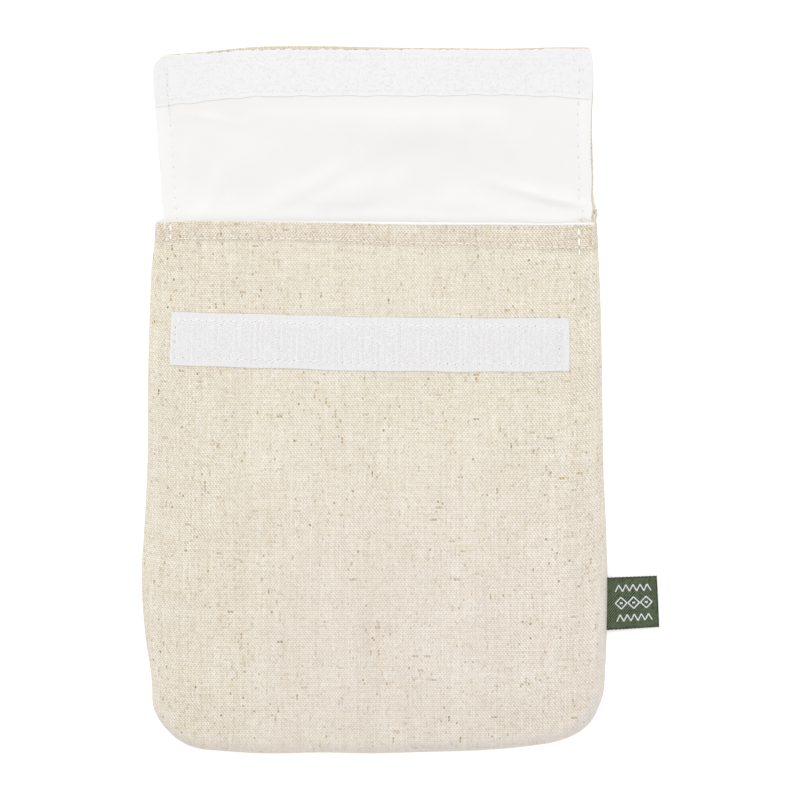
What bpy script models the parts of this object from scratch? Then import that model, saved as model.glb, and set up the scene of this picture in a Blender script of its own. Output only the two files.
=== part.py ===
# Linen bread bag lying open on its back: a lined pouch whose flap is thrown back, with a
# hook tape on the front, a loop tape on the flap and a folded label in the side seam.
# +X is to the right seen from above, +Y runs from the pouch's bottom to the flap's end.
# Sizes are in millimetres, measured from the middle of the pouch's bottom edge, and the
# meshes are made in metres.

import math

import bmesh
import bpy
import numpy as np
from mathutils import Vector

MM = 0.001

# Plies, from the surface up
LINEN_THICKNESS = 1.2
FILM_THICKNESS = 1.0
TAPE_THICKNESS = 1.5
LABEL_THICKNESS = 1.0
PLY_GAP = 0.3

# Outline, measured outwards from the middle line at heights above the bottom edge
POUCH_SIDES = {
    "height": (0, 34, 56, 85, 108, 136, 182, 217, 238, 253),
    "left": (104.5, 106.6, 109.7, 111.5, 110.2, 108.7, 108.3, 107.3, 106.4, 104.6),
    "right": (109.0, 109.7, 110.7, 111.1, 110.2, 108.7, 108.3, 107.3, 106.4, 105.9),
}
FLAP_SIDES = {
    "height": (254.5, 259, 264, 275, 290, 305, 320, 338),
    "left": (100.8, 101.2, 101.7, 102.1, 103.5, 104.5, 105.9, 105.0),
    "right": (105.4, 106.2, 104.8, 104.3, 104.0, 103.6, 104.0, 103.4),
}
FLAP_ROOT = 253.0
FLAP_ROOT_STEP = 1.5
BOTTOM_EDGE = {
    "across": (-105, -82, -66, -56, 0, 22, 54, 66, 80, 90, 109),
    "height": (1.3, 1.7, 0.6, 0.1, 0.2, 0.6, 1.6, 2.6, 4.4, 6.0, 6.5),
}
MOUTH_EDGE = {
    "across": (-105, -75, -25, 20, 80, 106),
    "height": (253.3, 254.4, 253.9, 252.6, 252.5, 253.6),
}
FLAP_END = {
    "across": (-105, -82, -60, -35, 0, 36, 88, 104),
    "height": (334.0, 336.1, 337.8, 338.5, 337.6, 337.1, 337.6, 337.0),
}
CORNER_RADIUS = 26.0
FLAP_CORNER_RADIUS = {"left": 8.0, "right": 2.0}

# Seams and hem
ROLL_WIDTH = 3.5
ROLL_RISE = 1.8
SEAM_INSET = 4.5
LIP = 0.5
LINING_PEEP = 1.3
HEM_DEPTH = 10.5
HEM_STEP = 1.2
HEM_RISE = 0.9

# Fullness of the empty pouch: rise of the front over the seam, and its reach inwards
CROWN = 9.5
MOUTH_CROWN = 7.2
CROWN_REACH = 20.0
CROWN_FALL_START = 170.0

# Soft folds: centre, half length, half width, rise (a dent is negative) and direction
FRONT_FOLDS = {
    "across": (-86, 64, -58, 58, -34, 8, 34, -94, 97, -60, 40),
    "height": (24, 18, 66, 74, 62, 66, 120, 118, 112, 226, 230),
    "length": (26, 30, 60, 66, 44, 46, 50, 34, 30, 34, 40),
    "width": (11, 9, 18, 20, 9, 8, 16, 9, 8, 9, 9),
    "rise": (-1.2, -1.0, 1.1, 1.0, -0.7, -0.6, 0.7, -0.6, -0.6, -0.5, -0.5),
    "turn": (52, -12, 55, 122, 93, 84, 78, 80, 100, 88, 94),
}
FLAP_LIFTS = {
    "across": (-104, -66, 58, 104),
    "height": (336, 318, 334, 300),
    "length": (34, 26, 36, 30),
    "width": (20, 12, 10, 10),
    "rise": (2.2, 0.6, 0.9, 0.6),
    "turn": (40, 15, 2, 88),
}
LIFT_START = 264.0
LIFT_FULL = 286.0
FILM_BUCKLES = {
    "across": (22, -31, 85, -80, -89, -4, 62, -56),
    "height": (288, 270, 264, 303, 280, 268, 296, 290),
    "length": (34, 17, 20, 14, 22, 22, 20, 26),
    "width": (10, 5, 3.5, 4, 4, 7, 6, 9),
    "rise": (1.3, 0.9, 1.1, 0.6, 0.6, -0.3, 0.5, 0.4),
    "turn": (4, 28, -15, -9, 88, 70, 128, 64),
}
BUCKLE_MARGIN = 9.0
BUCKLE_START = 256.0
BUCKLE_END = 312.0

# Tapes: the hook tape's edges at its left and right ends, and the loop tape's lower edge
HOOK_TAPE = {
    "end": (-97.4, 92.8),
    "low": (185.7, 183.2),
    "high": (210.8, 207.8),
}
LOOP_TAPE_LOW = {
    "across": (-105, -84, -61, -35, 60, 95, 104),
    "height": (308.8, 311.2, 313.5, 314.0, 314.6, 313.1, 312.4),
}

# Label caught in the right seam
LABEL_HEIGHT = 24.8
LABEL_REACH = 24.4
LABEL_TUCK = 3.0
LABEL_MIDDLE = 71.9
LABEL_TURN = math.radians(2.8)
LABEL_DROOP = 0.9
LABEL_RISE = 1.3
LABEL_RISE_REACH = 3.0
LABEL_RISE_MARGIN = 5.0
LABEL_RISE_TAPER = 12.0

# How far the lower and upper face of a sheet are drawn in at its edge, which rounds it.
# The faces that meet in the pouch's seam are not drawn in.
BACK_EDGE_ROUND = (0.35, 0.0)
FRONT_EDGE_ROUND = (0.0, 0.35)
FILM_EDGE_ROUND = (0.15, 0.15)
TAPE_EDGE_ROUND = (0.1, 0.35)
LABEL_EDGE_ROUND = (0.1, 0.1)

# Steps of the meshes: close to an edge, then even
EDGE_STEPS = (0.0, 1.4, SEAM_INSET, 11.0)
NARROW_EDGE_STEPS = (0.0, 1.2, 5.0)
NOMINAL_WIDTH = 216.0

# How far in and up the 45 degree point of a round bottom corner lies
CORNER_CUT = CORNER_RADIUS * (1 - math.sqrt(0.5))


def blend(low, high, share):
    return low + (high - low) * share


def smooth_step(value, start, stop):
    share = min(max((value - start) / (stop - start), 0.0), 1.0)
    return share * share * (3 - 2 * share)


def read(table, key, column, value):
    """Read a column of a table as a smooth curve over its key column."""
    keys = np.array(table[key], float)
    values = np.array(table[column], float)
    slopes = np.gradient(values, keys)
    low = int(np.clip(np.searchsorted(keys, value) - 1, 0, len(keys) - 2))
    span = keys[low + 1] - keys[low]
    share = min(max((value - keys[low]) / span, 0.0), 1.0)
    start = values[low] * (1 + 2 * share) * (1 - share) ** 2
    stop = values[low + 1] * (3 - 2 * share) * share ** 2
    leave = slopes[low] * span * share * (1 - share) ** 2
    arrive = slopes[low + 1] * span * share ** 2 * (1 - share)
    return start + stop + leave - arrive


def arc_inset(distance, radius):
    """How far a round corner draws an edge in, at a distance from the corner's end."""
    if distance >= radius:
        return 0.0
    return radius - math.sqrt(max(radius ** 2 - (radius - distance) ** 2, 0.0))


def side(name, height):
    """Distance of one side edge from the middle line, without the round corners."""
    pouch = read(POUCH_SIDES, "height", name, height)
    flap = read(FLAP_SIDES, "height", name, height)
    return blend(pouch, flap, smooth_step(height, FLAP_ROOT, FLAP_ROOT + FLAP_ROOT_STEP))


def corner_floor(name):
    """Height of the bottom edge at the foot of one side seam."""
    return BOTTOM_EDGE["height"][0 if name == "left" else -1]


def side_edge(name, height):
    return side(name, height) - arc_inset(height - corner_floor(name), CORNER_RADIUS)


def bottom_edge(across):
    name = "left" if across < 0 else "right"
    room = side(name, 0) - abs(across)
    return read(BOTTOM_EDGE, "across", "height", across) + arc_inset(room, CORNER_RADIUS)


def flap_end(u):
    """Height of the flap's end at a share of its width."""
    nominal = FLAP_SIDES["height"][-1]
    across = blend(-side("left", nominal), side("right", nominal), u)
    name = "left" if across < 0 else "right"
    room = side(name, nominal) - abs(across)
    end = read(FLAP_END, "across", "height", across)
    return end - arc_inset(room, FLAP_CORNER_RADIUS[name])


def mouth_edge(across):
    return read(MOUTH_EDGE, "across", "height", across)


def mouth_end(u):
    """Height of the mouth's edge at a share of its width."""
    return mouth_edge(blend(-side("left", FLAP_ROOT), side("right", FLAP_ROOT), u))


def corner_height(name):
    """Height of the corner's 45 degree point, where side edge and bottom edge meet."""
    return corner_floor(name) + CORNER_CUT


def sheet_plan(u, v, end, side_inset, low_inset, high_inset):
    """Place a point of a sheet whose sides follow the bag's outline.

    u runs from the left to the right edge and v from the bottom edge to the end edge.
    """
    across = blend(CORNER_CUT - side("left", 0), side("right", 0) - CORNER_CUT, u)
    full = end(u) - high_inset
    height = blend(bottom_edge(across) + low_inset, full, v)
    left_height = blend(corner_height("left"), full, v)
    right_height = blend(corner_height("right"), full, v)
    left = -side_edge("left", left_height) + side_inset(left_height)
    right = side_edge("right", right_height) - side_inset(right_height)
    return blend(left, right, u), height


def no_inset(height):
    return 0.0


def lining_inset(height):
    """The film stops inside the pouch's seam, and just short of the flap's edge."""
    return blend(SEAM_INSET, LIP, smooth_step(height, FLAP_ROOT, FLAP_ROOT + SEAM_INSET))


def seam_distance(across, height):
    """Distance to the nearest of the side seams, bottom seam and their round corners."""
    name = "left" if across < 0 else "right"
    room = side(name, min(height, FLAP_ROOT)) - abs(across)
    rise = height - read(BOTTOM_EDGE, "across", "height", across)
    if max(room, rise) < CORNER_RADIUS:
        return max(CORNER_RADIUS - math.hypot(CORNER_RADIUS - room, CORNER_RADIUS - rise), 0.0)
    return max(min(room, rise), 0.0)


def folds(table, across, height):
    """Height of all the soft folds in a table at one place."""
    total = 0.0
    for row in range(len(table["across"])):
        turn = math.radians(table["turn"][row])
        east = across - table["across"][row]
        north = height - table["height"][row]
        lengthways = (east * math.cos(turn) + north * math.sin(turn)) / table["length"][row]
        sideways = (north * math.cos(turn) - east * math.sin(turn)) / table["width"][row]
        total += table["rise"][row] * math.exp(-lengthways ** 2 - sideways ** 2)
    return total


def flap_lift(across, height):
    """How far the flap's linen stands off the surface below it."""
    return folds(FLAP_LIFTS, across, height) * smooth_step(height, LIFT_START, LIFT_FULL)


def film_buckle(across, height):
    """How far the flap's film stands off its linen, between the rows of stitches."""
    name = "left" if across < 0 else "right"
    room = side(name, height) - abs(across)
    free = smooth_step(room, LIP, BUCKLE_MARGIN)
    free *= smooth_step(height, BUCKLE_START, BUCKLE_START + BUCKLE_MARGIN)
    free *= 1 - smooth_step(height, BUCKLE_END - BUCKLE_MARGIN, BUCKLE_END)
    return max(folds(FILM_BUCKLES, across, height), 0.0) * free


def label_rise(across, height):
    """The seam is pushed up where the label is caught in it."""
    if across < 0:
        return 0.0
    off_label = abs(height - LABEL_MIDDLE) - LABEL_HEIGHT / 2
    window = 1 - smooth_step(off_label, LABEL_RISE_MARGIN, LABEL_RISE_MARGIN + LABEL_RISE_TAPER)
    depth = seam_distance(across, height)
    return LABEL_RISE * window * math.exp(-depth / LABEL_RISE_REACH)


def front_under(across, height):
    """Underside of the front panel: a rolled seam, then a low soft crown with folds."""
    depth = seam_distance(across, height)
    rolled = 1 - min(depth, ROLL_WIDTH) / ROLL_WIDTH
    roll = ROLL_RISE * math.sqrt(1 - rolled ** 2)
    fullness = blend(CROWN, MOUTH_CROWN, smooth_step(height, CROWN_FALL_START, FLAP_ROOT))
    inside = 1 - math.exp(-depth / CROWN_REACH)
    crown = (fullness + folds(FRONT_FOLDS, across, height)) * inside
    return LINEN_THICKNESS + PLY_GAP + roll + crown + label_rise(across, height)


def front_top(across, height):
    """Upper face of the front panel, thicker along the turned hem at the mouth."""
    hem_low = mouth_edge(across) - HEM_DEPTH
    hem = HEM_RISE * smooth_step(height, hem_low, hem_low + HEM_STEP)
    return front_under(across, height) + LINEN_THICKNESS + hem


def front_lining_top(across, height):
    return front_under(across, height) - PLY_GAP


def front_lining_under(across, height):
    return front_lining_top(across, height) - FILM_THICKNESS


def back_top(across, height):
    return flap_lift(across, height) + LINEN_THICKNESS


def back_lining_under(across, height):
    return back_top(across, height) + PLY_GAP + film_buckle(across, height)


def back_lining_top(across, height):
    return back_lining_under(across, height) + FILM_THICKNESS


def hook_tape_under(across, height):
    return front_top(across, height) + PLY_GAP


def hook_tape_top(across, height):
    return hook_tape_under(across, height) + TAPE_THICKNESS


def loop_tape_under(across, height):
    return back_lining_top(across, height) + PLY_GAP


def loop_tape_top(across, height):
    return loop_tape_under(across, height) + TAPE_THICKNESS


def edge_stations(steps, length, count):
    """Shares from 0 to 1 with fine steps at both ends and even ones between."""
    fine = [step / length for step in steps]
    middle = list(np.linspace(fine[-1], 1 - fine[-1], count + 1))
    return fine[:-1] + middle + [1 - share for share in reversed(fine[:-1])]


def heights_to_shares(heights):
    return [height / heights[-1] for height in heights]


def cloth_material(name, colour, roughness):
    material = bpy.data.materials.new(name)
    material.use_nodes = True
    shader = material.node_tree.nodes["Principled BSDF"]
    linear = [((channel / 255 + 0.055) / 1.055) ** 2.4 for channel in colour]
    shader.inputs["Base Color"].default_value = (*linear, 1)
    shader.inputs["Roughness"].default_value = roughness
    shader.inputs["Metallic"].default_value = 0.0
    return material


def sheet(name, columns, rows, plan, under, top, edge_round, material, parent):
    """Make one closed sheet on a grid of columns and rows, between two height functions."""
    mesh = bpy.data.meshes.new(name)
    shape = bmesh.new()
    last = (len(columns) - 1, len(rows) - 1)
    bmesh.ops.create_grid(shape, x_segments=last[0], y_segments=last[1], size=0.5)
    raised = bmesh.ops.extrude_face_region(shape, geom=shape.faces[:])
    upper = [item for item in raised["geom"] if isinstance(item, bmesh.types.BMVert)]
    bmesh.ops.translate(shape, verts=upper, vec=Vector((0, 0, 1)))
    for vertex in shape.verts:
        column = round((vertex.co.x + 0.5) * last[0])
        row = round((vertex.co.y + 0.5) * last[1])
        across, height = plan(columns[column], rows[row])
        on_edge = column in (0, last[0]) or row in (0, last[1])
        rise, drop = edge_round if on_edge else (0.0, 0.0)
        if vertex.co.z > 0.5:
            level = top(across, height) - drop
        else:
            level = under(across, height) + rise
        vertex.co = Vector((across, height, level)) * MM
    bmesh.ops.recalc_face_normals(shape, faces=shape.faces[:])
    shape.to_mesh(mesh)
    shape.free()
    mesh.shade_smooth()
    mesh.set_sharp_from_angle(angle=math.radians(50))
    mesh.materials.append(material)
    piece = bpy.data.objects.new(name, mesh)
    bpy.context.scene.collection.objects.link(piece)
    piece.parent = parent
    return piece


def make_back_panel(parent):
    linen = cloth_material("linen", (229, 220, 204), 0.9)
    heights = [0, 1.4, 6, 24, 50, 85, 120, 155, 190, 220, 240, 252.5, 254.8, 258, 264]
    heights += [272, 281, 290, 299, 308, 317, 325, 331, 335.5, 338]
    return sheet(
        "back_panel", edge_stations(NARROW_EDGE_STEPS, NOMINAL_WIDTH, 16),
        heights_to_shares(heights),
        lambda u, v: sheet_plan(u, v, flap_end, no_inset, 0, 0),
        flap_lift, back_top, BACK_EDGE_ROUND, linen, parent)


def make_back_lining(parent):
    film = cloth_material("film", (245, 244, 242), 0.45)
    heights = [0, 6, 40, 80, 120, 160, 200, 230, 247, 251.5, 254, 257, 261, 265, 270, 276]
    heights += [282, 288, 294, 300, 305, 310, 317, 324, 330, 334, 336.5]
    return sheet(
        "back_lining", edge_stations(NARROW_EDGE_STEPS, NOMINAL_WIDTH, 20),
        heights_to_shares(heights),
        lambda u, v: sheet_plan(u, v, flap_end, lining_inset, SEAM_INSET, LIP),
        back_lining_under, back_lining_top, FILM_EDGE_ROUND, film, parent)


def front_columns():
    return edge_stations(EDGE_STEPS, NOMINAL_WIDTH, 20)


def front_rows():
    mouth = FLAP_ROOT
    even = list(np.linspace(EDGE_STEPS[-1], mouth - 18, 20))
    hem = [mouth - HEM_DEPTH - 0.6, mouth - HEM_DEPTH + HEM_STEP + 0.6, mouth - 4, mouth - 1.4, mouth]
    return heights_to_shares(list(EDGE_STEPS[:-1]) + even + hem)


def make_front_panel(parent):
    linen = cloth_material("linen_front", (231, 223, 208), 0.9)
    return sheet(
        "front_panel", front_columns(), front_rows(),
        lambda u, v: sheet_plan(u, v, mouth_end, no_inset, 0, 0),
        front_under, front_top, FRONT_EDGE_ROUND, linen, parent)


def make_front_lining(parent):
    """The film behind the front shares its grid, inside the seam and past the mouth."""
    film = cloth_material("film_front", (245, 244, 242), 0.45)
    inner = EDGE_STEPS.index(SEAM_INSET)
    columns = front_columns()[inner:-inner]
    rows = front_rows()[inner:] + [1 + LINING_PEEP / FLAP_ROOT]
    return sheet(
        "front_lining", columns, rows,
        lambda u, v: sheet_plan(u, v, mouth_end, no_inset, 0, 0),
        front_lining_under, front_lining_top, FILM_EDGE_ROUND, film, parent)


def make_hook_tape(parent):
    hooks = cloth_material("hook_tape", (237, 235, 236), 0.6)

    def plan(u, v):
        low = blend(*HOOK_TAPE["low"], u)
        high = blend(*HOOK_TAPE["high"], u)
        return blend(*HOOK_TAPE["end"], u), blend(low, high, v)

    length = HOOK_TAPE["end"][1] - HOOK_TAPE["end"][0]
    return sheet(
        "hook_tape", edge_stations(NARROW_EDGE_STEPS, length, 20), (0, 0.06, 0.5, 0.94, 1),
        plan, hook_tape_under, hook_tape_top, TAPE_EDGE_ROUND, hooks, parent)


def make_loop_tape(parent):
    loops = cloth_material("loop_tape", (244, 244, 244), 0.95)

    def plan(u, v):
        across, high = sheet_plan(u, 1, flap_end, lining_inset, 0, LIP)
        low = read(LOOP_TAPE_LOW, "across", "height", across)
        height = blend(low, high, v)
        left = -side("left", height) + LIP
        right = side("right", height) - LIP
        return blend(left, right, u), height

    return sheet(
        "loop_tape", edge_stations(NARROW_EDGE_STEPS, NOMINAL_WIDTH, 20), (0, 0.06, 0.35, 0.65, 0.94, 1),
        plan, loop_tape_under, loop_tape_top, TAPE_EDGE_ROUND, loops, parent)


def make_side_label(parent):
    """A folded ribbon whose cut ends are caught in the seam, drooping to its fold."""
    ribbon = cloth_material("side_label", (92, 108, 80), 0.85)
    root = side("right", LABEL_MIDDLE) - LABEL_TUCK
    length = LABEL_TUCK + LABEL_REACH

    def plan(u, v):
        out = u * length
        up = (v - 0.5) * LABEL_HEIGHT
        across = root + out * math.cos(LABEL_TURN) - up * math.sin(LABEL_TURN)
        return across, LABEL_MIDDLE + out * math.sin(LABEL_TURN) + up * math.cos(LABEL_TURN)

    def under(across, height):
        free = (across - root - LABEL_TUCK) / LABEL_REACH
        return LINEN_THICKNESS + PLY_GAP - LABEL_DROOP * smooth_step(free, 0, 1)

    def top(across, height):
        return under(across, height) + LABEL_THICKNESS

    return sheet(
        "side_label", (0, 0.08, 0.2, 0.35, 0.5, 0.65, 0.8, 0.93, 1), (0, 0.06, 0.5, 0.94, 1),
        plan, under, top, LABEL_EDGE_ROUND, ribbon, parent)


def stand_on_origin(parent, pieces):
    """Move the whole bag so that the middle of its footprint is the origin."""
    corners = [vertex.co for piece in pieces for vertex in piece.data.vertices]
    low = Vector([min(corner[axis] for corner in corners) for axis in range(3)])
    high = Vector([max(corner[axis] for corner in corners) for axis in range(3)])
    parent.location = (-(low.x + high.x) / 2, -(low.y + high.y) / 2, -low.z)


def main():
    for thing in list(bpy.data.objects):
        bpy.data.objects.remove(thing, do_unlink=True)
    bag = bpy.data.objects.new("bread_bag", None)
    bpy.context.scene.collection.objects.link(bag)
    makers = (make_back_panel, make_back_lining, make_front_lining, make_front_panel,
              make_hook_tape, make_loop_tape, make_side_label)
    pieces = [make(bag) for make in makers]
    stand_on_origin(bag, pieces)


main()
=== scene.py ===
import math

import bmesh
import bpy
import numpy as np
from mathutils import Matrix, Vector


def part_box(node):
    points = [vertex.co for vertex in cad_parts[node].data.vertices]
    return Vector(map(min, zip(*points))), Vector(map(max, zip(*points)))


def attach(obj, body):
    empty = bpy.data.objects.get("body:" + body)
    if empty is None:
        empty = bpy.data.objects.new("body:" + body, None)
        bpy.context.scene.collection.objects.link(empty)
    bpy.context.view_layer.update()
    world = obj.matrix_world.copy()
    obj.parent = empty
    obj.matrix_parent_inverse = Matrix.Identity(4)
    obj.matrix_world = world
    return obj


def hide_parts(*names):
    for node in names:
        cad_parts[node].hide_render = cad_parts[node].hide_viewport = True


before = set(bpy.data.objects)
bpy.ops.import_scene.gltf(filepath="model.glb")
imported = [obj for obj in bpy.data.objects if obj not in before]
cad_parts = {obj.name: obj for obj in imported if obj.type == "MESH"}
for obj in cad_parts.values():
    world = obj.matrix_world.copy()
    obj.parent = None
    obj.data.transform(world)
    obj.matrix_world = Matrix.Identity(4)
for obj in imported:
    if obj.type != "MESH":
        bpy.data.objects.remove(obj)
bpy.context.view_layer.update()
mm = 0.001

# The bag's own sizes are in millimetres, x across from its middle line and y up from its
# bottom edge, as in the part's source. toWorld() carries them into the frame.
outline = {
    "pouchHeight": (0, 11, 20, 34, 56, 85, 108, 136, 182, 217, 236, 242.5, 253),
    "pouchLeft": (104.3, 105.1, 106.3, 106.6, 109.7, 111.5, 110.2, 108.8, 108.4, 107.4, 106.4,
                  105.5, 105.0),
    "pouchRight": (110.3, 110.1, 109.0, 109.7, 110.7, 111.1, 110.4, 109.2, 108.5, 107.7, 106.9,
                   106.6, 106.1),
    "flapHeight": (254.5, 259, 264, 275, 290, 305, 320, 331, 338),
    "flapLeft": (101.1, 101.5, 102.0, 102.4, 103.7, 104.7, 105.8, 105.7, 105.2),
    "flapRight": (105.7, 106.3, 104.8, 104.4, 103.9, 103.7, 104.4, 104.1, 103.0),
    "bottomAcross": (-105, -82, -66, -56, -42, -28, 0, 22, 54, 66, 80, 90, 109),
    "bottomHeight": (1.45, 1.85, 0.8, 0.15, 0.1, 0.5, 0.1, 0.7, 1.75, 2.7, 4.4, 5.95, 6.4),
    "mouthAcross": (-105, -95, -75, -25, 20, 60, 84, 106),
    "mouthHeight": (253.1, 253.9, 253.95, 253.2, 252.3, 252.3, 252.1, 252.5),
    "endAcross": (-105, -82, -60, -35, 0, 36, 66, 88, 104),
    "endHeight": (333.5, 335.3, 337.6, 338.35, 337.6, 337.2, 337.0, 337.6, 337.5),
    "flapRoot": 253.0, "rootStep": 1.5, "flapTop": 338.0,
    "corner": 26.0, "flapCornerLeft": 7.2, "flapCornerRight": 1.9,
}
cornerCut = outline["corner"] * (1 - math.sqrt(0.5))


def smooth(value, start, stop):
    t = np.clip((np.asarray(value, float) - start) / (stop - start), 0, 1)
    return t * t * (3 - 2 * t)


def blend(low, high, share):
    return low + (high - low) * share


def srgb(red, green, blue):
    linear = [((c / 255 + 0.055) / 1.055) ** 2.4 for c in (red, green, blue)]
    return (*linear, 1.0)


def readCurve(keys, values, at):  # a smooth curve through a short table
    keys = np.asarray(keys, float)
    values = np.asarray(values, float)
    slopes = np.gradient(values, keys)
    at = np.clip(np.asarray(at, float), keys[0], keys[-1])
    low = np.clip(np.searchsorted(keys, at) - 1, 0, len(keys) - 2)
    span = keys[low + 1] - keys[low]
    t = (at - keys[low]) / span
    ends = values[low] * (1 + 2 * t) * (1 - t) ** 2 + values[low + 1] * (3 - 2 * t) * t ** 2
    return ends + span * t * (1 - t) * (slopes[low] * (1 - t) - slopes[low + 1] * t)


def arcInset(distance, radius):  # how far a round corner draws an edge in
    short = radius - np.clip(distance, 0, radius)
    return radius - np.sqrt(np.maximum(radius ** 2 - short ** 2, 0))


def sideAt(hand, height):  # distance of a side edge from the middle line
    pouch = readCurve(outline["pouchHeight"], outline["pouch" + hand], height)
    flap = readCurve(outline["flapHeight"], outline["flap" + hand], height)
    root = outline["flapRoot"]
    return blend(pouch, flap, smooth(height, root, root + outline["rootStep"]))


def sideRoom(x, y):  # distance in from the nearer side edge
    return np.where(np.asarray(x) < 0, sideAt("Left", y), sideAt("Right", y)) - np.abs(x)


def bottomLine(x):
    return readCurve(outline["bottomAcross"], outline["bottomHeight"], x)


def cornerFloor(hand):
    return outline["bottomHeight"][0 if hand == "Left" else -1]


def roundedSide(hand, height):
    return sideAt(hand, height) - arcInset(height - cornerFloor(hand), outline["corner"])


def bottomEdge(x):
    return bottomLine(x) + arcInset(sideRoom(x, 0), outline["corner"])


def mouthLine(x):
    return readCurve(outline["mouthAcross"], outline["mouthHeight"], x)


def flapEnd(u):
    top = outline["flapTop"]
    x = blend(-sideAt("Left", top), sideAt("Right", top), u)
    room = sideRoom(x, top)
    end = readCurve(outline["endAcross"], outline["endHeight"], x)
    left = arcInset(room, outline["flapCornerLeft"])
    return end - np.where(x < 0, left, arcInset(room, outline["flapCornerRight"]))


def mouthEnd(u):
    root = outline["flapRoot"]
    return mouthLine(blend(-sideAt("Left", root), sideAt("Right", root), u))


def seamDepth(x, y):  # distance in from the pouch's sewn edges
    corner = outline["corner"]
    room = sideRoom(x, np.minimum(y, outline["flapRoot"]))
    rise = y - bottomLine(x)
    inCorner = np.maximum(room, rise) < corner
    rounded = corner - np.hypot(corner - room, corner - rise)
    return np.maximum(np.where(inCorner, rounded, np.minimum(room, rise)), 0)


# u runs from the left to the right edge, v from the bottom edge to the end edge
def clothPlan(u, v, end, leftInset, rightInset, lowInset, highInset):
    x = blend(cornerCut - sideAt("Left", 0), sideAt("Right", 0) - cornerCut, u)
    full = end(u) - highInset(u)
    y = blend(bottomEdge(x) + lowInset, full, v)
    leftY = blend(cornerFloor("Left") + cornerCut, full, v)
    rightY = blend(cornerFloor("Right") + cornerCut, full, v)
    left = -roundedSide("Left", leftY) + leftInset(leftY)
    right = roundedSide("Right", rightY) - rightInset(rightY)
    return blend(left, right, u), y


def nothing(value):
    return np.zeros_like(np.asarray(value, float))


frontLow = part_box("front_panel")[0]
originX = frontLow[0] / mm + sideAt("Left", np.linspace(60, 110, 101)).max()
originY = frontLow[1] / mm - bottomLine(np.linspace(-100, 60, 161)).min()


def toWorld(x, y, z):
    return np.stack([x + originX, y + originY, z], axis=-1) * mm


# Soft folds: centre, half length, half width, rise (a dent is negative) and direction
frontFolds = {
    "x": (-86, 64, -58, 58, -34, 8, 34, -94, 97, -60, 40, 102),
    "y": (24, 18, 66, 74, 62, 66, 120, 118, 112, 226, 230, 19.4),
    "long": (26, 30, 60, 66, 44, 46, 50, 34, 30, 34, 40, 5),
    "wide": (11, 9, 18, 20, 9, 8, 16, 9, 8, 9, 9, 1.2),
    "rise": (-1.2, -1.0, 1.1, 1.0, -0.7, -0.6, 0.7, -0.6, -0.6, -0.5, -0.5, -3.2),
    "turn": (52, -12, 55, 122, 93, 84, 78, 80, 100, 88, 94, -28),
}
flapLifts = {
    "x": (-104, -66, 58, 104),
    "y": (336, 318, 334, 300),
    "long": (34, 26, 36, 30),
    "wide": (20, 12, 10, 10),
    "rise": (2.2, 0.6, 0.9, 0.6),
    "turn": (40, 15, 2, 88),
}
filmBuckles = {
    "x": (22, -10, -30, 86, 88, -80, -89, -77, 64, -52, 34),
    "y": (299, 268, 272, 265, 257, 304, 279, 264, 292, 292, 262),
    "long": (38, 22, 21, 21, 16, 16, 24, 16, 26, 26, 26),
    "wide": (11, 8, 4.4, 3.0, 4, 2.4, 3.2, 3, 6, 10, 8),
    "rise": (1.6, 1.0, 0.6, 1.5, 0.7, 0.35, 0.4, 0.35, 0.5, 0.5, 0.5),
    "turn": (-3, 12, 28, -15, -12, -10, 88, 80, 130, 60, -8),
}


def foldHeight(table, x, y):
    total = nothing(x)
    for cx, cy, long, wide, rise, turn in zip(*table.values()):
        c, s = math.cos(math.radians(turn)), math.sin(math.radians(turn))
        along = ((x - cx) * c + (y - cy) * s) / long
        beside = ((y - cy) * c - (x - cx) * s) / wide
        total = total + rise * np.exp(-along ** 2 - beside ** 2)
    return total


def ripple(x, y, length, seed):  # gentle unevenness, about -1 to 1
    chance = np.random.default_rng(seed)
    total = nothing(x)
    for wave in range(9):
        angle, phase = chance.uniform(0, math.tau, 2)
        pace = math.tau / (length * chance.uniform(0.6, 1.7))
        total = total + np.sin((x * math.cos(angle) + y * math.sin(angle)) * pace + phase)
    return total / 3.2


front = {
    "thick": 0.9, "seat": 1.5, "rollWidth": 3.5, "rollRise": 1.8,
    "crown": 9.5, "mouthCrown": 7.2, "crownReach": 20.0, "fallStart": 170.0,
    "droop": 1.7, "droopLength": 26.0,
    "labelY": 71.9, "labelHalf": 12.4, "labelRise": 1.3, "labelReach": 3.0, "labelFade": (5, 17),
    "rimWidth": 2.4, "rimTop": 1.75, "closing": 1.0, "closingTop": 100, "mouthRound": 0.9,
    "leastPly": 0.12,
    "hemRise": 0.8, "hemX": (-105, -60, 0, 50, 106), "hemDepth": (9.2, 8.9, 9.8, 11.0, 12.2),
    "hemBelow": 1.0, "hemAbove": 0.9, "shadeFade": 0.4,
    "allowance": 5.6, "allowanceUneven": 0.7, "allowanceFade": 1.6, "allowanceRise": 0.42,
    "rippleRise": 0.11, "rippleLength": 17,
}
mouthStitch = {
    "x": (-104, -98.7, -82, -50, -27, -2, 31, 60, 70, 104),
    "y": (244.5, 245.3, 245.8, 245.8, 245.3, 244.4, 243.4, 243.0, 242.4, 241.4),
    "pitch": 3.26, "fill": 0.78, "radius": 0.27, "groove": 0.26, "grooveWide": 0.9,
}


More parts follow.
